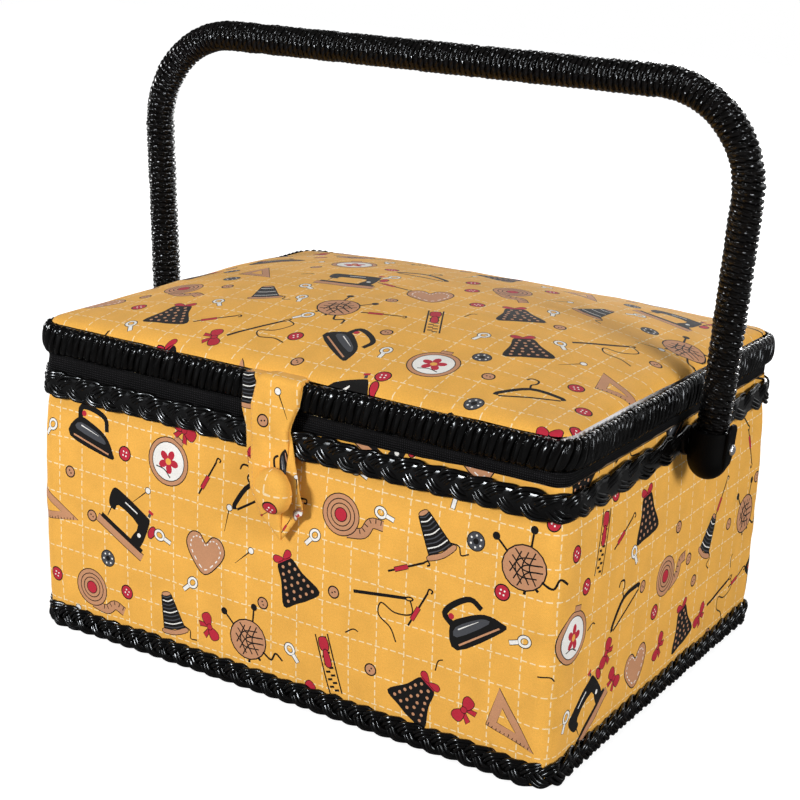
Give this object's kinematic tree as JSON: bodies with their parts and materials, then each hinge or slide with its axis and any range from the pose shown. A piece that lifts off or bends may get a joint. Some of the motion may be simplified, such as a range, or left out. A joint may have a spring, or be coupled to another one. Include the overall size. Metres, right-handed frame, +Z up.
{
  "type": "sewing basket",
  "caption": "Cloth covered rectangular sewing basket with a padded hinged lid, cane wound rim and swing handle, plaited edgings and a magnetic button strap.",
  "frame": {"origin": "middle of the underside, on the surface that the basket stands on", "axes": "+X along the long front face, to the right seen from the front; -Y is the front with the button strap; +Z up"},
  "size_m": [0.3556, 0.2518, 0.3067],
  "materials": {
    "printed_cotton": "printed cotton with a running stitch grid",
    "black_cane": "glossy black cane",
    "black_tape": "finely woven black tape",
    "black_plastic": "moulded black plastic",
    "steel": "polished nickel plate",
    "fibreboard": "bare fibreboard",
    "white_felt": "pale felt",
    "foam": "open foam",
    "lining_cloth": "plain lining cloth",
    "clear_plastic": "clear moulded plastic"
  },
  "bodies": {
    "basket": {"base_cloth": "black_tape", "base_board": "fibreboard", "floor_pad": "lining_cloth", "wall_board": "fibreboard", "wall_lining": "lining_cloth", "body_cover": "printed_cotton", "base_braid": "black_cane", "top_braid": "black_cane", "rim_tape": "black_tape", "accessory_tray": "clear_plastic", "tray_ledge_front": "lining_cloth", "tray_ledge_back": "lining_cloth", "rivet_left": "steel", "rivet_right": "steel", "rivet_washer_left": "steel", "rivet_washer_right": "steel", "rivet_spacer_left": "black_plastic", "rivet_spacer_right": "black_plastic", "hinge_tape_left": "black_tape", "hinge_tape_right": "black_tape", "clasp_plate": "steel"},
    "lid": {"lid_board": "fibreboard", "lid_underlay": "white_felt", "lid_pad": "foam", "lid_cover": "printed_cotton", "lid_rim_hoop": "fibreboard", "lid_rim_wrap": "black_cane", "lid_lining": "lining_cloth", "lid_pocket": "lining_cloth", "pocket_elastic": "black_tape", "pincushion": "printed_cotton", "hinge_flap_left": "black_tape", "hinge_flap_right": "black_tape", "strap_anchor": "printed_cotton"},
    "handle": {"handle_core": "fibreboard", "handle_wrap": "black_cane", "handle_sleeve_left": "black_plastic", "handle_sleeve_right": "black_plastic"},
    "strap": {"strap_tab": "printed_cotton", "covered_button": "printed_cotton", "strap_magnet": "steel"}
  },
  "joints": [
    {"name": "lid_hinge", "type": "hinge", "parent": "basket", "child": "lid", "pos_m": [0, 0.1209, 0.14815], "axis": [-1, 0, 0], "range_deg": [0, 105]},
    {"name": "handle_pivot", "type": "hinge", "parent": "basket", "child": "handle", "pos_m": [0, 0, 0.134], "axis": [-1, 0, 0], "range_deg": [-125, 125]},
    {"name": "strap_lift", "type": "hinge", "parent": "lid", "child": "strap", "pos_m": [0, -0.12205, 0.16105], "axis": [-1, 0, 0], "range_deg": [0, 110]}
  ],
  "couplings": [
    {"joint": "handle_pivot", "follows": "lid_hinge", "ratio": 1.19}
  ]
}
